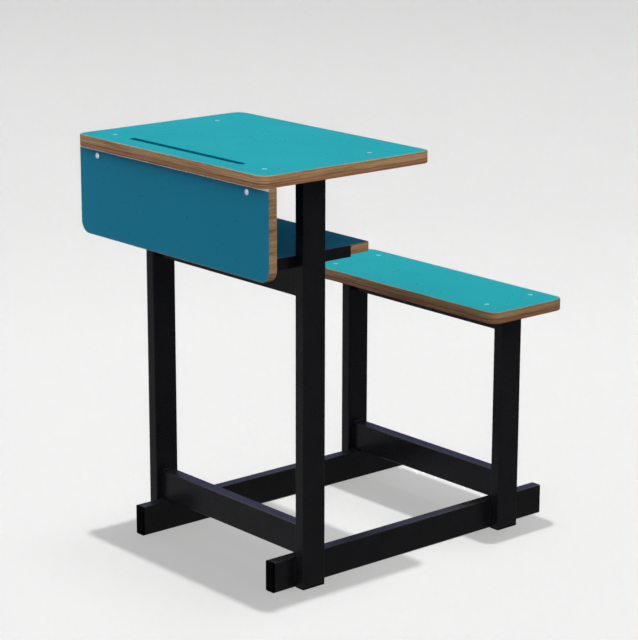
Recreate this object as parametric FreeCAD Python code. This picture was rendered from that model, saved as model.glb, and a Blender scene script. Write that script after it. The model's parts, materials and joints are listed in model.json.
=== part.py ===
import FreeCAD, Part
import os
from math import cos, radians, sin

# One-seat school desk with a joined bench: laminated boards on a welded rectangular-tube frame.
# Millimetres. +Z up, -Y towards the front panel, +Y towards the bench, +X the sitter's left.

V = FreeCAD.Vector
os.makedirs("parts", exist_ok=True)

# ---- driving dimensions ----
CORE_T = 19.0
LAMINATE_T = 1.0
BOARD_T = CORE_T + 2 * LAMINATE_T
EDGE_W = 2.2
EDGE_ROUND = 1.8

DESK_TOP_Z = 750.0
DESK_HALF_W = 263.5
DESK_FRONT_Y = -363.5
DESK_BACK_Y = 9.5
DESK_CORNER_R = 20.0

SEAT_TOP_Z = 437.5
SEAT_HALF_W = 270.0
SEAT_FRONT_Y = 160.0
SEAT_BACK_Y = 343.5
SEAT_CORNER_R = 23.0

GROOVE_X = -2.5
GROOVE_Y = -316.0
GROOVE_LEN = 316.0
GROOVE_W = 14.0
GROOVE_DEPTH = 6.5

PANEL_HALF_W = 266.0
PANEL_FRONT_Y = -352.5
PANEL_T = 16.0
PANEL_BOTTOM_Z = 570.5
PANEL_CORNER_R = 22.0
PANEL_EDGE_W = 0.8

SHELF_HALF_W = 197.3
SHELF_BACK_Y = -71.5
SHELF_Z = 574.5
SHELF_T = 16.6
SHELF_CORNER_R = 8.0
SHELF_EDGE_W = 2.2
SHELF_EDGE_ROUND = 1.6

WALL = 1.6
TUBE_R = 2.4
LEG_INNER_X = 200.5
LEG_W = 22.0
LEG_D = 49.5
FRONT_LEG_Y = -219.0
BENCH_LEG_Y = 254.5

RUNNER_W = 22.0
RUNNER_H = 55.5
RUNNER_FRONT_Y = -292.0
RUNNER_BACK_Y = 363.5
CAP_T = 3.0
PLUG_DEPTH = 16.0

RAIL_D = 25.0
RAIL_H = 54.0
SEAT_RAIL_H = 37.0

BAR_T = 6.0
BAR_W = 25.0
DESK_BAR_BACK_Y = -68.0
DESK_BAR_TAB = 27.0
SEAT_BAR_FRONT_Y = 176.5
SEAT_BAR_BACK_Y = 324.5
TIE_D = 40.0

ANGLE_W = 20.0
ANGLE_T = 3.0
ANGLE_FRONT_Y = -330.0
ANGLE_BACK_Y = -119.5

SCREW_X = 209.5
DESK_SCREW_Y = (-316.0, -86.5)
SEAT_SCREW_Y = (201.5, 313.5)
SCREW_R = 2.5
SCREW_HEAD_R = 4.8
SCREW_SINK = 0.2
NUT_ACROSS = 8.0
NUT_T = 4.2

BOLT_R = 3.0
BOLT_HEAD_R = 5.3
BOLT_HEAD_T = 2.2
BOLT_X = (207.5, -213.5)
BOLT_Z = 715.5

SHELF_SCREW_X = 187.0
SHELF_SCREW_Y = (-292.0, -150.0)
CLEAR = 0.15

# ---- derived positions ----
DESK_UNDER_Z = DESK_TOP_Z - BOARD_T
SEAT_UNDER_Z = SEAT_TOP_Z - BOARD_T
DESK_BAR_Z = DESK_UNDER_Z - BAR_T
SEAT_BAR_Z = SEAT_UNDER_Z - BAR_T
LEG_OUTER_X = LEG_INNER_X + LEG_W
BAR_INNER_X = LEG_OUTER_X - BAR_W
RUNNER_INNER_X = LEG_INNER_X - RUNNER_W
PANEL_BACK_Y = PANEL_FRONT_Y + PANEL_T
ANGLE_Z = SHELF_Z - ANGLE_T
SIDES = {"left": 1, "right": -1}

parts = {}


def box(x0, x1, y0, y1, z0, z1):
    return Part.makeBox(x1 - x0, y1 - y0, z1 - z0, V(x0, y0, z0))


def side_box(side, x0, x1, y0, y1, z0, z1):
    low, high = sorted((side * x0, side * x1))
    return box(low, high, y0, y1, z0, z1)


def cylinder(radius, length, base, axis=V(0, 0, 1)):
    return Part.makeCylinder(radius, length, base, axis)


def rounded_face(u0, u1, v0, v1, radii, place):
    """Rectangle with a radius of its own at each corner, in the order ++, -+, --, +-."""
    corners = ((u1, v1, -1, -1, 0), (u0, v1, 1, -1, 90), (u0, v0, 1, 1, 180), (u1, v0, -1, 1, 270))
    runs = []
    for (u, v, su, sv, start), radius in zip(corners, radii):
        angles = (0, 45, 90) if radius else (0,)
        turns = [radians(start + angle) for angle in angles]
        cu = u + su * radius
        cv = v + sv * radius
        runs.append([place(cu + radius * cos(a), cv + radius * sin(a)) for a in turns])
    edges = []
    for i, run in enumerate(runs):
        if len(run) == 3:
            edges.append(Part.Arc(*run).toShape())
        after = runs[(i + 1) % 4][0]
        if run[-1].distanceToPoint(after) > 1e-6:
            edges.append(Part.makeLine(run[-1], after))
    return Part.Face(Part.Wire(edges))


def plate(half_w, y0, y1, z0, z1, radii):
    """Horizontal plate centred on X."""
    face = rounded_face(-half_w, half_w, y0, y1, radii, lambda u, v: V(u, v, z0))
    return face.extrude(V(0, 0, z1 - z0))


def upright(half_w, y0, y1, z0, z1, radii):
    """Upright plate centred on X."""
    face = rounded_face(-half_w, half_w, z0, z1, radii, lambda u, v: V(u, y0, v))
    return face.extrude(V(0, y1 - y0, 0))


PLACES = {
    "x": (lambda at: lambda u, v: V(at, u, v), V(1, 0, 0)),
    "y": (lambda at: lambda u, v: V(u, at, v), V(0, 1, 0)),
    "z": (lambda at: lambda u, v: V(u, v, at), V(0, 0, 1)),
}


def bar(axis, u0, u1, v0, v1, start, end, radius):
    """Solid bar with rounded long corners."""
    place, unit = PLACES[axis]
    face = rounded_face(u0, u1, v0, v1, (radius,) * 4, place(start))
    return face.extrude(unit * (end - start))


def tube(axis, u0, u1, v0, v1, start, end):
    outer = bar(axis, u0, u1, v0, v1, start, end, TUBE_R)
    inner = bar(axis, u0 + WALL, u1 - WALL, v0 + WALL, v1 - WALL, start, end, TUBE_R - WALL)
    return outer.cut(inner)


def plug(axis, u0, u1, v0, v1, outside, inside):
    """Moulded plug: a flange outside the tube's end and a hollow body pushed into it."""
    step = 1 if inside > outside else -1
    seat = outside + step * CAP_T
    gap = WALL + CLEAR
    core = gap + 2.0
    flange = bar(axis, u0, u1, v0, v1, outside, seat, TUBE_R)
    rim = [e for e in flange.Edges if on_plane(e, axis, outside)]
    flange = flange.makeFillet(1.0, rim)
    body = bar(axis, u0 + gap, u1 - gap, v0 + gap, v1 - gap, seat, inside, TUBE_R - WALL)
    hollow = bar(axis, u0 + core, u1 - core, v0 + core, v1 - core, seat, inside, 0.5)
    return flange.fuse(body.cut(hollow))


def on_plane(edge, axis, level):
    index = "xyz".index(axis)
    return all(abs(vertex.Point[index] - level) < 1e-6 for vertex in edge.Vertexes)


def rounded_board(half_w, y0, y1, z0, z1, corner, rounding):
    """Plate with its outer rim rounded over above and below, square where rounding is 0."""
    body = plate(half_w, y0, y1, z0, z1, (corner,) * 4)
    rims = [e for e in body.Edges if on_plane(e, "z", z0) or on_plane(e, "z", z1)]
    return body.makeFillet(rounding, rims)


def mitred_strips(ring, half_w, y0, y1, z0, z1, reach):
    """The ring cut along its corners' diagonals into four strips."""
    out = 5.0
    far = half_w + out
    near = half_w - reach
    outlines = (
        ((-far, y0 - out), (far, y0 - out), (near, y0 + reach), (-near, y0 + reach)),
        ((far, y0 - out), (far, y1 + out), (near, y1 - reach), (near, y0 + reach)),
        ((far, y1 + out), (-far, y1 + out), (-near, y1 - reach), (near, y1 - reach)),
        ((-far, y1 + out), (-far, y0 - out), (-near, y0 + reach), (-near, y1 - reach)),
    )
    strips = []
    for outline in outlines:
        points = [V(x, y, z0 - 1) for x, y in outline]
        wedge = Part.Face(Part.makePolygon(points + points[:1])).extrude(V(0, 0, z1 - z0 + 2))
        strips.append(ring.common(wedge))
    return strips


def make_board(name, half_w, y0, y1, z0, z1, corner, edge_w, rounding, skin, cutters):
    """Core, top laminate, backer and edging of one horizontal board, less the cutters."""
    inner = (half_w - edge_w, y0 + edge_w, y1 - edge_w)
    radii = (corner - edge_w,) * 4
    levels = {"backer": (z0, z0 + skin), "board": (z0 + skin, z1 - skin), "laminate": (z1 - skin, z1)}
    for layer, (low, high) in levels.items():
        body = plate(*inner, low, high, radii)
        for cutter in cutters:
            body = body.cut(cutter)
        parts[f"{name}_{layer}"] = [body]
    whole = rounded_board(half_w, y0, y1, z0, z1, corner, rounding)
    ring = whole.cut(plate(*inner, z0, z1, radii))
    parts[f"{name}_edge"] = mitred_strips(ring, half_w, y0, y1, z0, z1, corner)


def screw_hole(x, y, top, bottom):
    """Countersunk hole a little wider than the screw that sits in it."""
    cone = Part.makeCone(
        SCREW_R + CLEAR, SCREW_HEAD_R + CLEAR, SCREW_HEAD_R - SCREW_R, V(x, y, top - SCREW_HEAD_R + SCREW_R)
    )
    return cylinder(SCREW_R + CLEAR, top - bottom, V(x, y, bottom)).fuse(cone)


def cross_recess(x, y, z, reach, depth, width):
    slots = [
        box(x - reach, x + reach, y - width / 2, y + width / 2, z - depth, z + 1),
        box(x - width / 2, x + width / 2, y - reach, y + reach, z - depth, z + 1),
    ]
    return slots[0].fuse(slots[1])


def countersunk_screw(x, y, top, bottom):
    crown = top - SCREW_SINK
    height = SCREW_HEAD_R - SCREW_SINK - SCREW_R
    head = Part.makeCone(SCREW_R, SCREW_HEAD_R - SCREW_SINK, height, V(x, y, crown - height))
    shank = cylinder(SCREW_R, crown - 0.5 - bottom, V(x, y, bottom))
    return head.fuse(shank).cut(cross_recess(x, y, crown, 2.6, 1.6, 1.0))


def nut(across, hole, length, base, axis):
    """Hexagon nut standing on base along axis."""
    turn = FreeCAD.Rotation(V(0, 0, 1), axis)
    radius = across / 3 ** 0.5
    points = [V(radius * cos(radians(60 * i)), radius * sin(radians(60 * i)), 0) for i in range(7)]
    body = Part.Face(Part.makePolygon(points)).extrude(V(0, 0, length))
    bevel = Part.makeCone(radius + 0.2, radius - 0.4, length, V(0, 0, 0))
    body = body.common(bevel).cut(cylinder(hole, length + 2, V(0, 0, -1)))
    body.Placement = FreeCAD.Placement(base, turn)
    return body


# ---- desk top and bench boards ----
def screw_spots(rows):
    return [(sign * SCREW_X, y) for y in rows for sign in (1, -1)]


groove = bar("z", GROOVE_X - GROOVE_LEN / 2, GROOVE_X + GROOVE_LEN / 2,
             GROOVE_Y - GROOVE_W / 2, GROOVE_Y + GROOVE_W / 2,
             DESK_TOP_Z - GROOVE_DEPTH, DESK_TOP_Z + 1, GROOVE_W / 2 - 0.01)
desk_holes = [screw_hole(x, y, DESK_TOP_Z, DESK_UNDER_Z - 1) for x, y in screw_spots(DESK_SCREW_Y)]
seat_holes = [screw_hole(x, y, SEAT_TOP_Z, SEAT_UNDER_Z - 1) for x, y in screw_spots(SEAT_SCREW_Y)]
make_board("desk_top", DESK_HALF_W, DESK_FRONT_Y, DESK_BACK_Y, DESK_UNDER_Z, DESK_TOP_Z,
           DESK_CORNER_R, EDGE_W, EDGE_ROUND, LAMINATE_T, desk_holes + [groove])
make_board("bench", SEAT_HALF_W, SEAT_FRONT_Y, SEAT_BACK_Y, SEAT_UNDER_Z, SEAT_TOP_Z,
           SEAT_CORNER_R, EDGE_W, EDGE_ROUND, LAMINATE_T, seat_holes)

# ---- book shelf ----
shelf_holes = []
shelf_screws = []
for y in SHELF_SCREW_Y:
    for sign in (1, -1):
        spot = V(sign * SHELF_SCREW_X, y, ANGLE_Z)
        shelf_holes.append(cylinder(2.0 + CLEAR, 3.0 + 11.0, spot))
        shank = cylinder(2.0, ANGLE_T + 10.5, spot)
        head = cylinder(4.0, 2.4, spot - V(0, 0, 2.4))
        rim = [e for e in head.Edges if on_plane(e, "z", ANGLE_Z - 2.4)]
        head = head.makeFillet(1.2, rim)
        recess = box(spot.x - 2.4, spot.x + 2.4, y - 0.5, y + 0.5, ANGLE_Z - 3, ANGLE_Z - 1.2)
        shelf_screws.append(head.fuse(shank).cut(recess))
parts["shelf_screws"] = shelf_screws
make_board("shelf", SHELF_HALF_W, PANEL_BACK_Y, SHELF_BACK_Y, SHELF_Z, SHELF_Z + SHELF_T,
           SHELF_CORNER_R, SHELF_EDGE_W, SHELF_EDGE_ROUND, 0.8, shelf_holes)

# ---- front panel ----
bolt_holes = [
    cylinder(BOLT_R + CLEAR, 40, V(x, PANEL_FRONT_Y - 5, BOLT_Z), V(0, 1, 0)) for x in BOLT_X
]
inner_r = PANEL_CORNER_R - PANEL_EDGE_W
inner_w = PANEL_HALF_W - PANEL_EDGE_W
inner_z = PANEL_BOTTOM_Z + PANEL_EDGE_W
layers = {
    "laminate": (PANEL_FRONT_Y, PANEL_FRONT_Y + LAMINATE_T),
    "board": (PANEL_FRONT_Y + LAMINATE_T, PANEL_BACK_Y - LAMINATE_T),
    "backer": (PANEL_BACK_Y - LAMINATE_T, PANEL_BACK_Y),
}
for layer, (near, far) in layers.items():
    body = upright(inner_w, near, far, inner_z, DESK_UNDER_Z, (0, 0, inner_r, inner_r))
    for hole in bolt_holes:
        body = body.cut(hole)
    parts[f"front_panel_{layer}"] = [body]
outline_r = (0, 0, PANEL_CORNER_R, PANEL_CORNER_R)
band = upright(PANEL_HALF_W, PANEL_FRONT_Y, PANEL_BACK_Y, PANEL_BOTTOM_Z, DESK_UNDER_Z, outline_r)
face_rims = [e for e in band.Edges if on_plane(e, "y", PANEL_FRONT_Y) or on_plane(e, "y", PANEL_BACK_Y)]
rims = [e for e in face_rims if not on_plane(e, "z", DESK_UNDER_Z)]
band = band.makeFillet(0.3, rims)
filling = upright(inner_w, PANEL_FRONT_Y, PANEL_BACK_Y, inner_z, DESK_UNDER_Z, (0, 0, inner_r, inner_r))
parts["front_panel_edge"] = [band.cut(filling)]

# ---- legs, runners and cross rails ----
legs = {"front_leg": (FRONT_LEG_Y, DESK_BAR_Z), "bench_leg": (BENCH_LEG_Y, SEAT_BAR_Z)}
feet = []
caps = []
for side, sign in SIDES.items():
    x0, x1 = sorted((sign * LEG_INNER_X, sign * LEG_OUTER_X))
    for name, (y, top) in legs.items():
        section = (x0, x1, y - LEG_D / 2, y + LEG_D / 2)
        parts[f"{name}_{side}"] = [tube("z", *section, CAP_T, top)]
        feet.append(plug("z", *section, 0, CAP_T + PLUG_DEPTH))
    x0, x1 = sorted((sign * LEG_INNER_X, sign * RUNNER_INNER_X))
    section = (x0, x1, 0, RUNNER_H)
    parts[f"runner_{side}"] = [tube("y", *section, RUNNER_FRONT_Y + CAP_T, RUNNER_BACK_Y - CAP_T)]
    caps.append(plug("y", *section, RUNNER_FRONT_Y, RUNNER_FRONT_Y + CAP_T + PLUG_DEPTH))
    caps.append(plug("y", *section, RUNNER_BACK_Y, RUNNER_BACK_Y - CAP_T - PLUG_DEPTH))
parts["leg_foot_plugs"] = feet
parts["runner_end_caps"] = caps

rails = {
    "front_cross_rail": (FRONT_LEG_Y, RUNNER_H, RUNNER_H + RAIL_H),
    "rear_cross_rail": (BENCH_LEG_Y, RUNNER_H, RUNNER_H + RAIL_H),
    "shelf_cross_rail": (FRONT_LEG_Y, ANGLE_Z - RAIL_H, ANGLE_Z),
    "bench_cross_rail": (BENCH_LEG_Y, SEAT_UNDER_Z - SEAT_RAIL_H, SEAT_UNDER_Z),
}
for name, (y, low, high) in rails.items():
    section = (y - RAIL_D / 2, y + RAIL_D / 2, low, high)
    parts[name] = [tube("x", *section, -LEG_INNER_X, LEG_INNER_X)]

# ---- bars and angles that carry the boards ----
for side, sign in SIDES.items():
    flat = side_box(sign, BAR_INNER_X, LEG_OUTER_X, PANEL_BACK_Y, DESK_BAR_BACK_Y, DESK_BAR_Z, DESK_UNDER_Z)
    tab = side_box(sign, BAR_INNER_X, LEG_OUTER_X, PANEL_BACK_Y, PANEL_BACK_Y + BAR_T,
                   DESK_UNDER_Z - DESK_BAR_TAB, DESK_UNDER_Z)
    bent = flat.fuse(tab).removeSplitter()
    outer = [e for e in bent.Edges if on_plane(e, "y", PANEL_BACK_Y) and on_plane(e, "z", DESK_UNDER_Z)]
    bent = bent.makeFillet(BAR_T, outer)
    for hole in bolt_holes:
        bent = bent.cut(hole)
    for x, y in screw_spots(DESK_SCREW_Y):
        bent = bent.cut(cylinder(SCREW_R + CLEAR, BAR_T + 2, V(x, y, DESK_BAR_Z - 1)))
    parts[f"desk_side_bar_{side}"] = [bent]

    flat = side_box(sign, LEG_INNER_X, LEG_OUTER_X, SEAT_BAR_FRONT_Y, SEAT_BAR_BACK_Y,
                    SEAT_BAR_Z, SEAT_UNDER_Z)
    for x, y in screw_spots(SEAT_SCREW_Y):
        flat = flat.cut(cylinder(SCREW_R + CLEAR, BAR_T + 2, V(x, y, SEAT_BAR_Z - 1)))
    parts[f"bench_side_bar_{side}"] = [flat]

    wall = side_box(sign, LEG_INNER_X - ANGLE_T, LEG_INNER_X, ANGLE_FRONT_Y, ANGLE_BACK_Y,
                    ANGLE_Z, ANGLE_Z + ANGLE_W)
    ledge = side_box(sign, LEG_INNER_X - ANGLE_W, LEG_INNER_X, ANGLE_FRONT_Y, ANGLE_BACK_Y,
                     ANGLE_Z, ANGLE_Z + ANGLE_T)
    angle = wall.fuse(ledge).removeSplitter()
    for hole in shelf_holes:
        angle = angle.cut(hole)
    parts[f"shelf_angle_{side}"] = [angle]
parts["desk_tie_bar"] = [
    box(-BAR_INNER_X, BAR_INNER_X, FRONT_LEG_Y - TIE_D / 2, FRONT_LEG_Y + TIE_D / 2, DESK_BAR_Z, DESK_UNDER_Z)
]

# ---- fasteners ----
for name, rows, top, seat in (
    ("desk_top", DESK_SCREW_Y, DESK_TOP_Z, DESK_BAR_Z),
    ("bench", SEAT_SCREW_Y, SEAT_TOP_Z, SEAT_BAR_Z),
):
    spots = screw_spots(rows)
    parts[f"{name}_screws"] = [countersunk_screw(x, y, top, seat - NUT_T - 1.5) for x, y in spots]
    parts[f"{name}_nuts"] = [
        nut(NUT_ACROSS, SCREW_R + 0.1, NUT_T, V(x, y, seat), V(0, 0, -1)) for x, y in spots
    ]

bolts = []
washers = []
bolt_nuts = []
for x in BOLT_X:
    start = V(x, PANEL_FRONT_Y, BOLT_Z)
    back = PANEL_BACK_Y + BAR_T
    ball_r = (BOLT_HEAD_R ** 2 + BOLT_HEAD_T ** 2) / (2 * BOLT_HEAD_T)
    ball = Part.makeSphere(ball_r, V(x, PANEL_FRONT_Y - BOLT_HEAD_T + ball_r, BOLT_Z))
    dome = ball.common(cylinder(BOLT_HEAD_R, BOLT_HEAD_T, start, V(0, -1, 0)))
    shank = cylinder(BOLT_R, back + 7.4 - PANEL_FRONT_Y, start, V(0, 1, 0))
    bolts.append(dome.fuse(shank))
    washer = cylinder(6.5, 1.4, V(x, back, BOLT_Z), V(0, 1, 0))
    washers.append(washer.cut(cylinder(BOLT_R + 0.2, 4, V(x, back - 1, BOLT_Z), V(0, 1, 0))))
    bolt_nuts.append(nut(10.0, BOLT_R + 0.1, 5.0, V(x, back + 1.4, BOLT_Z), V(0, 1, 0)))
parts["panel_bolts"] = bolts
parts["panel_washers"] = washers
parts["panel_nuts"] = bolt_nuts

for node, solids in parts.items():
    shape = solids[0] if len(solids) == 1 else Part.makeCompound(solids)
    shape.exportStep(f"parts/{node}.step")
    print(node, len(shape.Solids), shape.isValid(), round(shape.Volume / 1000, 2), shape.BoundBox)
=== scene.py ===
import json
import math
import random

import bmesh
import bpy
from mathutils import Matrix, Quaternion, Vector


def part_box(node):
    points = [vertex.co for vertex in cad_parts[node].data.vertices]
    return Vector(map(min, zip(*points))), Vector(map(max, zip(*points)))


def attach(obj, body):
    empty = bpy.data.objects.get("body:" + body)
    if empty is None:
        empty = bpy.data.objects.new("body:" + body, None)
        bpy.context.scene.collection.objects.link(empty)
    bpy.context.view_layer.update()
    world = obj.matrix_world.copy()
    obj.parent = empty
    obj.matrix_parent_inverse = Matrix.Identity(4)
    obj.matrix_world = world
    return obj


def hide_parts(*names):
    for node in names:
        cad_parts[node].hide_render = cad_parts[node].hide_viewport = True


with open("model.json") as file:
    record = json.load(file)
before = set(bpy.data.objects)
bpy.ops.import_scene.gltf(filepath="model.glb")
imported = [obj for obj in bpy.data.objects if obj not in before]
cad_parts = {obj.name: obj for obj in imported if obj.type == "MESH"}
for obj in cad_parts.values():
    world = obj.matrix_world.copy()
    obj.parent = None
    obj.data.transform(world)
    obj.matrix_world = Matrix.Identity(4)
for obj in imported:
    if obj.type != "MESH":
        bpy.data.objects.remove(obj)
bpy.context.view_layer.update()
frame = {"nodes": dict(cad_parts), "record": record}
nodes = frame["nodes"]
MM = 0.001

# edging strips
EDGING_WIDTH = 2.2 * MM
BOARD_ROUNDING = 1.8 * MM
SHELF_ROUNDING = 1.6 * MM
DESK_CORNER = 20.0 * MM
BENCH_CORNER = 23.0 * MM
SHELF_CORNER = 8.0 * MM

# lining of the pencil groove, measured from its middle and from the top of the laminate
GROOVE_HALF_LENGTH = 157.9 * MM
GROOVE_OUTER_R = 6.9 * MM
GROOVE_INNER_R = 6.3 * MM
GROOVE_DEPTH = 6.45 * MM
GROOVE_FLOOR_T = 0.5 * MM
GROOVE_RIM = 0.25 * MM

# pale line along the top of the front panel, a painted highlight
LINE_TOP = 0.1 * MM
LINE_BOTTOM = 4.4 * MM
LINE_SPANS = 60

# weld beads
WELD_RADIUS = 1.4 * MM
WELD_STEP = 1.6 * MM
WELD_INSET = 2 * MM
WELD_SIDES = 8

# camera
LENS = 129.25
AZIMUTH = 49.515
ELEVATION = 14.625
ROLL = 0.138
TARGET = (-0.0462, 0.0201, 0.3870)
DISTANCE = 4.2485

# studio
FLOOR_HALF = 40.0
FLOOR_TONE = 0.094
FLOOR_GLOW = (0.41, 0.41, 0.405)
WALL_TONE = (0.665, 0.665, 0.665, 1)


# ---------------------------------------------------------------- node helpers
class Graph:
    """Short calls for building one material's nodes."""

    def __init__(self, name):
        self.material = bpy.data.materials.new(name)
        self.material.use_nodes = True
        self.tree = self.material.node_tree
        self.shader = self.tree.nodes["Principled BSDF"]
        self.coords = self.add("ShaderNodeTexCoord").outputs["Object"]

    def add(self, kind, **values):
        node = self.tree.nodes.new(kind)
        for key, value in values.items():
            setattr(node, key, value)
        return node

    def link(self, output, socket):
        self.tree.links.new(output, socket)
        return socket.node

    def constants(self, **values):
        for key, value in values.items():
            self.shader.inputs[key.replace("_", " ")].default_value = value

    def mapped(self, scale):
        node = self.add("ShaderNodeMapping")
        node.inputs["Scale"].default_value = scale
        self.link(self.coords, node.inputs["Vector"])
        return node.outputs["Vector"]

    def noise(self, scale, detail=4.0, roughness=0.55, stretch=(1, 1, 1)):
        node = self.add("ShaderNodeTexNoise")
        node.inputs["Scale"].default_value = scale
        node.inputs["Detail"].default_value = detail
        node.inputs["Roughness"].default_value = roughness
        self.link(self.mapped(stretch), node.inputs["Vector"])
        return node.outputs["Fac"]

    def ramp(self, factor, stops):
        node = self.add("ShaderNodeValToRGB")
        points = node.color_ramp.elements
        while len(points) < len(stops):
            points.new(0.5)
        for point, (position, color) in zip(points, stops):
            point.position = position
            point.color = (*color, 1.0) if len(color) == 3 else color
        self.link(factor, node.inputs["Fac"])
        return node.outputs["Color"]

    def mix(self, factor, first, second, blend="MIX"):
        node = self.add("ShaderNodeMix", data_type="RGBA", blend_type=blend)
        for socket, value in ((node.inputs[0], factor), (node.inputs[6], first), (node.inputs[7], second)):
            if isinstance(value, (int, float, tuple)):
                socket.default_value = (*value, 1.0) if isinstance(value, tuple) else value
            else:
                self.link(value, socket)
        return node.outputs[2]

    def between(self, factor, low, high, start=0.0, end=1.0):
        node = self.add("ShaderNodeMapRange")
        for index, value in enumerate((start, end, low, high), 1):
            node.inputs[index].default_value = value
        self.link(factor, node.inputs[0])
        return node.outputs[0]

    def bump(self, height, strength, distance):
        node = self.add("ShaderNodeBump")
        node.inputs["Strength"].default_value = strength
        node.inputs["Distance"].default_value = distance
        self.link(height, node.inputs["Height"])
        self.link(node.outputs["Normal"], self.shader.inputs["Normal"])

    def color(self, output):
        self.link(output, self.shader.inputs["Base Color"])

    def rough(self, output):
        self.link(output, self.shader.inputs["Roughness"])


# ---------------------------------------------------------------- materials
def laminate_material(name, deep, pale, specular=0.28):
    """Satin plain-coloured laminate: soft broad clouds between two tones, and a fine fleck."""
    g = Graph(name)
    clouds = g.ramp(g.noise(5.3, 3.0), ((0.35, deep), (0.65, pale)))
    fleck = g.ramp(g.noise(231.7, 3.0), ((0.36, (0.985, 0.985, 0.985)), (0.64, (1.0, 1.0, 1.0))))
    g.color(g.mix(1.0, clouds, fleck, "MULTIPLY"))
    g.rough(g.between(g.noise(61.3, 5.0), 0.27, 0.32, 0.3, 0.7))
    g.bump(g.noise(93.7, 2.0), 0.006, 0.0001)
    g.constants(IOR=1.45, Specular_IOR_Level=specular)
    return g.material


def edging_material(name, stretch, tone, detail=5.0, with_plies_and_top_shade=True):
    """Printed wood grain; the ply option adds one dark line and a redder lower part to the height of the
    strip, and a darker top edge that is painted shade.
    """
    g = Graph(name)
    streaks = g.noise(1.0, detail, 0.62, stretch)
    browns = (
        (0.28, (0.250, 0.120, 0.048)), (0.42, (0.500, 0.285, 0.125)),
        (0.55, (0.660, 0.425, 0.205)), (0.72, (0.760, 0.520, 0.270)),
    )
    grain = g.ramp(streaks, [(place, tuple(tone * c for c in brown)) for place, brown in browns])
    fine = g.noise(1.0, 3.0, 0.6, tuple(6.5 * c for c in stretch))
    pores = g.ramp(fine, ((0.38, (0.76, 0.70, 0.64)), (0.56, (1.0, 1.0, 1.0))))
    patch = g.ramp(g.noise(7.0, 2.0), ((0.35, (0.92, 0.88, 0.82)), (0.65, (1.06, 1.02, 1.0))))
    color = g.mix(1.0, g.mix(1.0, grain, pores, "MULTIPLY"), patch, "MULTIPLY")
    if with_plies_and_top_shade:
        height = g.add("ShaderNodeSeparateXYZ")
        g.link(g.add("ShaderNodeTexCoord").outputs["Generated"], height.inputs[0])
        sway = g.add("ShaderNodeMath", operation="MULTIPLY_ADD")
        g.link(g.noise(14.0, 3.0), sway.inputs[0])
        sway.inputs[1].default_value = 0.16
        g.link(height.outputs["Z"], sway.inputs[2])
        # ply ramp up the height of the strip; its last stop darkens the top edge, painted shade that dulls
        # the highlight the rounded edge catches from above
        plies_and_top_shade = g.ramp(
            sway.outputs[0],
            ((0.0, (0.80, 0.62, 0.56)), (0.40, (0.88, 0.72, 0.66)), (0.46, (0.48, 0.34, 0.27)),
             (0.52, (0.95, 0.92, 0.86)), (0.94, (1.04, 1.02, 0.96)), (1.0, (0.62, 0.56, 0.50))),
        )
        color = g.mix(1.0, color, plies_and_top_shade, "MULTIPLY")
    g.color(color)
    g.rough(g.between(streaks, 0.62, 0.45, 0.3, 0.7))
    g.bump(fine, 0.10, 0.0003)
    g.constants(IOR=1.45)
    return g.material


def chipped_board_and_highlight_material(name, base):
    """Bare pressed board with small dark chips; the same pattern in pale colours makes the painted highlight
    along the top of the front panel.
    """
    g = Graph(name)
    dark = tuple(c * 0.72 for c in base)
    g.color(g.ramp(g.noise(260.0, 4.0), ((0.38, dark), (0.60, base))))
    g.rough(g.between(g.noise(120.0), 0.75, 0.92))
    g.bump(g.noise(500.0, 3.0), 0.25, 0.0004)
    return g.material


def coat_material(name, base, low, high, specular=0.5):
    """Dark coat or plastic, slightly cloudy, with roughness between low and high."""
    g = Graph(name)
    light = tuple(c * 1.35 for c in base)
    g.color(g.ramp(g.noise(18.0, 4.0), ((0.35, base), (0.68, light))))
    g.rough(g.between(g.noise(45.0, 5.0), low, high, 0.3, 0.7))
    g.bump(g.noise(1100.0, 2.0), 0.04, 0.0003)
    g.constants(IOR=1.45, Specular_IOR_Level=specular)
    return g.material


def steel_material(name, dull, bright, metallic):
    """Zinc plating with dull and bright patches."""
    g = Graph(name)
    g.color(g.ramp(g.noise(220.0, 4.0), ((0.35, dull), (0.65, bright))))
    g.rough(g.between(g.noise(600.0, 3.0), 0.30, 0.48, 0.3, 0.7))
    g.bump(g.noise(1800.0, 2.0), 0.05, 0.0002)
    g.constants(Metallic=metallic)
    return g.material


LAMINATE = laminate_material("turquoise_laminate", (0.0020, 0.356, 0.362), (0.0025, 0.384, 0.395), 0.20)
# the front panel's laminate is a bluer, darker copy of the top's turquoise: painted shade of the upright
# faces
UPRIGHT_LAMINATE_SHADED = laminate_material("turquoise_upright_painted_shade", (0.0030, 0.300, 0.421), (0.0040, 0.314, 0.445))
# the shelf's laminate is a darker copy of the top's turquoise: painted shade of the shelf under the desk
SHELF_LAMINATE_SHADED = laminate_material("turquoise_shelf_painted_shade", (0.019, 0.145, 0.235), (0.021, 0.157, 0.255), 0.0)
# groove lining: turquoise, painted darker than the top laminate as shade in the groove
GROOVE_LINING_SHADED = laminate_material("groove_lining_painted_shade", (0.0016, 0.190, 0.270), (0.0020, 0.210, 0.300))
EDGING = edging_material("brown_edging", (9.0, 9.0, 420.0), 0.98)
# the bench edging is the desk's brown painted darker (tone 0.74): painted shade
BENCH_EDGING_SHADED = edging_material("brown_edging_bench_painted_shade", (9.0, 9.0, 420.0), 0.74)
# the front panel's edging is the same brown painted darker (tone 0.76): painted shade on the upright panel
UPRIGHT_EDGING_SHADED = edging_material("brown_edging_upright_painted_shade", (60.0, 12.0, 190.0), 0.76, 2.0, with_plies_and_top_shade=False)
CORE = chipped_board_and_highlight_material("board_core", (0.42, 0.29, 0.16))
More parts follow.
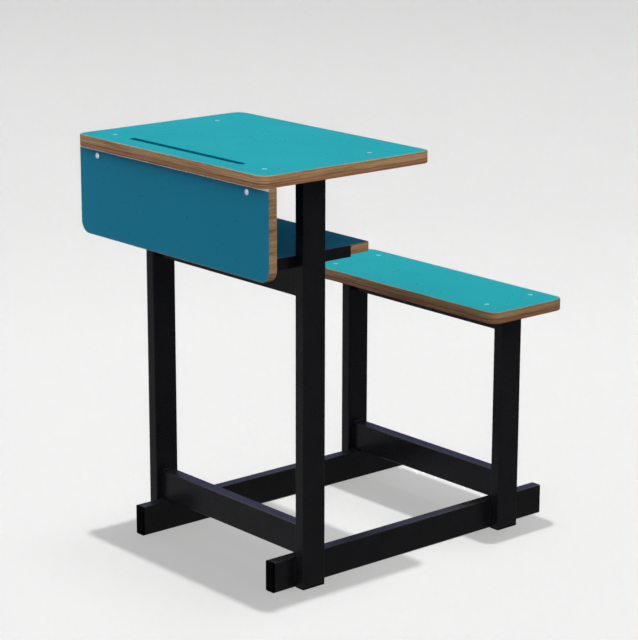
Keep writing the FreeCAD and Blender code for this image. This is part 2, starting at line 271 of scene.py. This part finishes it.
# pale colour of the strip along the top of the front panel: a painted highlight
HIGHLIGHT_PAINT = chipped_board_and_highlight_material("pale_highlight_paint", (0.84, 0.82, 0.64))
COAT = coat_material("black_powder_coat", (0.0125, 0.0125, 0.0124), 0.24, 0.32, 0.36)
PLUG = coat_material("black_plastic", (0.0006, 0.0006, 0.0006), 0.55, 0.75, 0.05)
STEEL = steel_material("zinc_plated_steel", (0.88, 0.91, 0.94), (0.94, 0.96, 0.98), 0.2)
# desk and bench screws: zinc tinted teal-blue, a painted reflection of the turquoise laminate round their
# heads
STEEL_TEAL_REFLECTION = steel_material("zinc_plated_steel_teal_reflection", (0.32, 0.64, 0.70), (0.42, 0.78, 0.84), 0.3)

FINISH = {
    "laminate": LAMINATE, "edging": EDGING, "core": CORE, "frame": COAT, "plug": PLUG, "screw": STEEL,
}
for part in frame["record"]["subparts"]:
    mesh = nodes[part["node"]].data
    mesh.materials.clear()
    mesh.materials.append(FINISH[part["material_slot"]])
for name, material in (
    ("front_panel_laminate", UPRIGHT_LAMINATE_SHADED), ("front_panel_backer", UPRIGHT_LAMINATE_SHADED),
    ("shelf_laminate", SHELF_LAMINATE_SHADED), ("front_panel_edge", UPRIGHT_EDGING_SHADED),
    ("desk_top_screws", STEEL_TEAL_REFLECTION), ("bench_screws", STEEL_TEAL_REFLECTION),
):
    nodes[name].data.materials[0] = material


# ---------------------------------------------------------------- mesh helpers
def add_piece(name, verts, faces, material, sharp=35.0):
    """New piece that rides on the root body; edges bent by more than sharp degrees stay crisp."""
    mesh = bpy.data.meshes.new(name)
    mesh.from_pydata(verts, [], faces)
    work = bmesh.new()
    work.from_mesh(mesh)
    bmesh.ops.remove_doubles(work, verts=work.verts, dist=1e-7)
    bmesh.ops.recalc_face_normals(work, faces=work.faces)
    work.to_mesh(mesh)
    work.free()
    mesh.shade_smooth()
    mesh.set_sharp_from_angle(angle=math.radians(sharp))
    mesh.materials.append(material)
    piece = bpy.data.objects.new(name, mesh)
    bpy.context.scene.collection.objects.link(piece)
    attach(piece, "root")
    return piece


def loops_to_faces(count, size, closed=True):
    """Quads between consecutive loops of the same size."""
    faces = []
    for i in range(count if closed else count - 1):
        j = (i + 1) % count
        for k in range(size):
            m = (k + 1) % size
            faces.append((i * size + k, i * size + m, j * size + m, j * size + k))
    return faces


def capped_tube(count, size):
    """Faces of an open row of loops, with its first and last loop filled in."""
    faces = loops_to_faces(count, size, closed=False)
    faces.append(tuple(range(size)))
    faces.append(tuple(range((count - 1) * size, count * size)))
    return faces


def edge_ring(name, node, rounding, corner, material=EDGING, steps=8):
    """Rounded edging all the way round one board, as one unbroken strip."""
    lo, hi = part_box(node)
    turns = [math.radians(90 * i / steps) for i in range(steps + 1)]
    # the profile holds pairs of depth in from the outline and height
    profile = [(EDGING_WIDTH, hi.z)]
    for a in turns:
        profile.append((rounding - rounding * math.sin(a), hi.z - rounding + rounding * math.cos(a)))
    for a in turns:
        profile.append((rounding - rounding * math.cos(a), lo.z + rounding - rounding * math.sin(a)))
    profile.append((EDGING_WIDTH, lo.z))
    centres = (
        (hi.x - corner, hi.y - corner, 0), (lo.x + corner, hi.y - corner, 90),
        (lo.x + corner, lo.y + corner, 180), (hi.x - corner, lo.y + corner, 270),
    )
    verts = []
    for cx, cy, start in centres:
        for i in range(steps + 1):
            a = math.radians(start + 90 * i / steps)
            c, s = math.cos(a), math.sin(a)
            verts += [(cx + (corner - d) * c, cy + (corner - d) * s, z) for d, z in profile]
    count = len(centres) * (steps + 1)
    piece = add_piece(name, verts, loops_to_faces(count, len(profile)), material)
    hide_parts(node)
    return piece


# ---------------------------------------------------------------- edging and small trim
edging_pieces = [
    nodes["front_panel_edge"],
    edge_ring("desk_top_edging", "desk_top_edge", BOARD_ROUNDING, DESK_CORNER),
    edge_ring("bench_edging", "bench_edge", BOARD_ROUNDING, BENCH_CORNER, BENCH_EDGING_SHADED),
    edge_ring("shelf_edging", "shelf_edge", SHELF_ROUNDING, SHELF_CORNER),
]


def stadium(centre, half_length, radius, z, steps=10):
    """Loop of points round a slot with half-round ends."""
    points = []
    for sign in (1, -1):
        for i in range(steps + 1):
            a = math.radians(-90 + 180 * i / steps)
            points.append((centre.x + sign * (half_length - radius + radius * math.cos(a)),
                           centre.y + sign * radius * math.sin(a), z))
    return points


def pencil_groove_liner():
    """Thin turquoise lining of the pencil groove, painted darker than the top laminate as shade in the
    groove.
    """
    openings = frame["record"]["physics"]["openings"]
    opening = next(o for o in openings if o["name"] == "pencil_groove")
    lo, hi = (Vector(c) for c in opening["box_m"])
    centre = (lo + hi) / 2
    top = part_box("desk_top_laminate")[1].z
    rim_z = top - GROOVE_RIM
    floor_z = top - GROOVE_DEPTH
    inner_half = GROOVE_HALF_LENGTH - (GROOVE_OUTER_R - GROOVE_INNER_R)
    loops = [
        stadium(centre, GROOVE_HALF_LENGTH, GROOVE_OUTER_R, rim_z),
        stadium(centre, GROOVE_HALF_LENGTH, GROOVE_OUTER_R, floor_z),
        stadium(centre, inner_half, GROOVE_INNER_R, floor_z + GROOVE_FLOOR_T),
        stadium(centre, inner_half, GROOVE_INNER_R, rim_z),
    ]
    # the outer floor and the inner floor close the tray
    size = len(loops[0])
    verts = [v for loop in loops for v in loop]
    faces = []
    for low, high in ((0, 1), (2, 3), (3, 0)):
        for k in range(size):
            m = (k + 1) % size
            faces.append((low * size + k, low * size + m, high * size + m, high * size + k))
    faces.append(tuple(range(size, 2 * size)))
    faces.append(tuple(range(2 * size, 3 * size)))
    add_piece("pencil_groove_liner", verts, faces, GROOVE_LINING_SHADED)


def make_painted_highlight():
    """Pale strip along the top of the front panel: a painted highlight, standing proud of the panel's face.
    """
    lo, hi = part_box("front_panel_laminate")
    top = hi.z - LINE_TOP
    low = hi.z - LINE_BOTTOM
    # the section holds pairs of Y and Z, slightly crowned off the panel's face
    section = [
        (lo.y - 0.05 * MM, low), (lo.y - 0.5 * MM, low + 0.3 * MM), (lo.y - 0.7 * MM, (low + top) / 2),
        (lo.y - 0.5 * MM, top - 0.1 * MM), (lo.y - 0.05 * MM, top),
    ]
    verts = []
    for i in range(LINE_SPANS + 1):
        x = lo.x + (hi.x - lo.x) * i / LINE_SPANS
        verts += [(x, y, z) for y, z in section]
    faces = capped_tube(LINE_SPANS + 1, len(section))
    return add_piece("front_panel_painted_highlight", verts, faces, HIGHLIGHT_PAINT)


def bead(start, end, rng):
    """Rippled weld bead between two points, as verts and faces."""
    start, end = Vector(start), Vector(end)
    along = (end - start).normalized()
    side = along.orthogonal().normalized()
    up = along.cross(side)
    count = max(6, int((end - start).length / WELD_STEP))
    verts = []
    for i in range(count + 1):
        t = i / count
        taper = min(1.0, 0.35 + 4.0 * min(t, 1 - t))
        ripple = 0.88 + 0.12 * math.cos(i * math.pi / 1.5) + rng.uniform(-0.04, 0.04)
        r = WELD_RADIUS * taper * ripple
        centre = start + (end - start) * t
        for k in range(WELD_SIDES):
            a = 2 * math.pi * k / WELD_SIDES
            verts.append(centre + r * (math.cos(a) * side + math.sin(a) * up))
    return verts, capped_tube(count + 1, WELD_SIDES)


def weld_piece(name, seams):
    """One piece holding the weld beads along these seams."""
    rng = random.Random(name)
    verts, faces = [], []
    for start, end in seams:
        new_verts, new_faces = bead(start, end, rng)
        faces += [tuple(k + len(verts) for k in face) for face in new_faces]
        verts += new_verts
    add_piece(name, verts, faces, COAT, sharp=80.0)


def rail_welds(rail, open_side):
    """Beads at both ends of a cross rail, up its front and back and along its open top or bottom."""
    lo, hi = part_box(rail)
    level = hi.z if open_side == "top" else lo.z
    seams = []
    for x in (lo.x, hi.x):
        for y in (lo.y, hi.y):
            seams.append(((x, y, lo.z + WELD_INSET), (x, y, hi.z - WELD_INSET)))
        seams.append(((x, lo.y + WELD_INSET, level), (x, hi.y - WELD_INSET, level)))
    weld_piece("welds_" + rail, seams)


def runner_welds(leg, runner):
    """Beads where a leg stands against the outer face of a runner."""
    leg_lo, leg_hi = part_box(leg)
    run_lo, run_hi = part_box(runner)
    x = run_hi.x if run_hi.x > 0 else run_lo.x
    seams = [((x, y, 3 * MM), (x, y, run_hi.z - WELD_INSET)) for y in (leg_lo.y, leg_hi.y)]
    seams.append(((x, leg_lo.y + WELD_INSET, run_hi.z), (x, leg_hi.y - WELD_INSET, run_hi.z)))
    weld_piece("welds_" + leg, seams)


pencil_groove_liner()
painted_highlight_strip = make_painted_highlight()
for rail, side in (
    ("front_cross_rail", "top"), ("rear_cross_rail", "top"),
    ("shelf_cross_rail", "bottom"), ("bench_cross_rail", "bottom"),
):
    rail_welds(rail, side)
for side in ("left", "right"):
    for leg in ("front_leg_", "bench_leg_"):
        runner_welds(leg + side, "runner_" + side)


# ---------------------------------------------------------------- stage, light and camera
def stage_mesh(name, verts, faces):
    """Thing of the stage, seen by the camera and never in reflections or bounced light."""
    mesh = bpy.data.meshes.new(name)
    mesh.from_pydata(verts, [], faces)
    thing = bpy.data.objects.new(name, mesh)
    bpy.context.scene.collection.objects.link(thing)
    thing.visible_glossy = False
    thing.visible_diffuse = False
    return thing


def make_floor():
    """Pale floor: a steady glow of its own, plus what the floor lights add outside the shadow."""
    corners = [(sx * FLOOR_HALF, sy * FLOOR_HALF, 0) for sx, sy in ((-1, -1), (1, -1), (1, 1), (-1, 1))]
    floor = stage_mesh("floor", corners, [(0, 1, 2, 3)])
    g = Graph("studio_floor")
    distance = g.add("ShaderNodeVectorMath", operation="LENGTH")
    g.link(g.coords, distance.inputs[0])
    fade = g.ramp(g.between(distance.outputs["Value"], 0.0, 1.0, 0.0, 12.0),
                  ((0.0, (1.0, 1.0, 1.0)), (0.12, (0.99, 0.99, 0.99)), (0.25, (0.905, 0.905, 0.905)),
                   (0.41, (0.86, 0.86, 0.86)), (0.67, (0.775, 0.775, 0.775)), (1.0, (0.74, 0.74, 0.74))))
    g.color(g.mix(1.0, fade, (FLOOR_TONE,) * 3, "MULTIPLY"))
    g.link(g.mix(1.0, fade, FLOOR_GLOW, "MULTIPLY"), g.shader.inputs["Emission Color"])
    g.constants(Roughness=1.0, Specular_IOR_Level=0.0, Emission_Strength=1.0)
    floor.data.materials.append(g.material)
    return floor


def make_backdrop():
    """Wall far round the floor, in the floor's far tone, for low views."""
    radius, height, steps = 36.0, 40.0, 96
    verts = []
    for z in (-0.5, height):
        verts += [(radius * math.cos(2 * math.pi * i / steps), radius * math.sin(2 * math.pi * i / steps), z)
                  for i in range(steps)]
    faces = [(i, (i + 1) % steps, steps + (i + 1) % steps, steps + i) for i in range(steps)]
    wall = stage_mesh("backdrop", verts, faces)
    wall.visible_shadow = False
    g = Graph("studio_wall")
    g.constants(Base_Color=(0, 0, 0, 1), Roughness=1.0, Specular_IOR_Level=0.0, Emission_Strength=1.0,
                Emission_Color=WALL_TONE)
    wall.data.materials.append(g.material)


def make_world():
    """Sky that is pale overhead and deep blue just above the horizon, and stronger from one side."""
    world = bpy.data.worlds.new("studio")
    world.use_nodes = True
    tree = world.node_tree
    background = tree.nodes["Background"]
    coords = tree.nodes.new("ShaderNodeTexCoord")
    split = tree.nodes.new("ShaderNodeSeparateXYZ")
    spread = tree.nodes.new("ShaderNodeMapRange")
    spread.inputs[1].default_value = -1.0
    ramp = tree.nodes.new("ShaderNodeValToRGB")
    stops = (
        (0.0, (0.19, 0.19, 0.19)), (0.49, (0.17, 0.17, 0.17)), (0.53, (0.035, 0.05, 0.24)),
        (0.68, (0.05, 0.07, 0.30)), (0.76, (0.98, 0.98, 0.98)), (1.0, (1.1, 1.1, 1.1)),
    )
    points = ramp.color_ramp.elements
    while len(points) < len(stops):
        points.new(0.5)
    for point, (position, color) in zip(points, stops):
        point.position = position
        point.color = (*color, 1.0)
    tree.links.new(coords.outputs["Generated"], split.inputs[0])
    tree.links.new(split.outputs["Z"], spread.inputs[0])
    tree.links.new(spread.outputs[0], ramp.inputs["Fac"])
    facing = tree.nodes.new("ShaderNodeVectorMath")
    facing.operation = "DOT_PRODUCT"
    facing.inputs[1].default_value = (-0.76, -0.65, 0.0)
    gain = tree.nodes.new("ShaderNodeMapRange")
    for index, value in enumerate((-1.0, 1.0, 0.70, 1.45), 1):
        gain.inputs[index].default_value = value
    tree.links.new(coords.outputs["Generated"], facing.inputs[0])
    tree.links.new(facing.outputs["Value"], gain.inputs[0])
    tree.links.new(gain.outputs[0], background.inputs["Strength"])
    tree.links.new(ramp.outputs["Color"], background.inputs["Color"])
    bpy.context.scene.world = world


def make_sun(name, energy, spread, tilt, lights_only=(), shadows=True):
    """Sun with its spread and tilt in degrees; lights_only names the objects that it reaches, if not all."""
    light = bpy.data.lights.new(name, "SUN")
    light.energy = energy
    light.use_shadow = shadows
    light.angle = math.radians(spread)
    sun = bpy.data.objects.new(name, light)
    sun.rotation_euler = [math.radians(t) for t in tilt]
    bpy.context.scene.collection.objects.link(sun)
    if lights_only:
        group = bpy.data.collections.new(name + "_targets")
        for target in lights_only:
            group.objects.link(target)
        sun.light_linking.receiver_collection = group


def make_camera():
    camera = bpy.data.cameras.new("camera")
    camera.sensor_width = 36.0
    camera.lens = LENS
    holder = bpy.data.objects.new("camera", camera)
    bpy.context.scene.collection.objects.link(holder)
    azimuth = math.radians(AZIMUTH)
    elevation = math.radians(ELEVATION)
    level = math.cos(elevation)
    back = Vector((math.sin(azimuth) * level, -math.cos(azimuth) * level, math.sin(elevation)))
    holder.location = Vector(TARGET) + DISTANCE * back
    holder.rotation_mode = "QUATERNION"
    upright = (-back).to_track_quat("-Z", "Y")
    holder.rotation_quaternion = upright @ Quaternion((0, 0, 1), math.radians(ROLL))
    bpy.context.scene.camera = holder


floor = make_floor()
make_backdrop()
make_world()
make_sun("key_light", 1.1, 2.0, (0, 0, 0))
make_sun("floor_key_light", 10.4, 1.6, (0, 0, 0), [floor])
make_sun("floor_soft_light", 2.1, 15.0, (-10, 0, 0), [floor])
make_sun("trim_light", 3.0, 20.0, (94, 0, 35), [nodes["panel_bolts"], painted_highlight_strip])
make_sun("side_light", 0.7, 30.0, (70, 0, 80), edging_pieces)
# the shelf lies deep in shadow, so a light of its own that nothing blocks keeps its colour even
make_sun("shelf_light", 0.6, 40.0, (0, 0, 0), [nodes["shelf_laminate"]], shadows=False)
make_camera()
bpy.context.scene.view_settings.view_transform = "Standard"
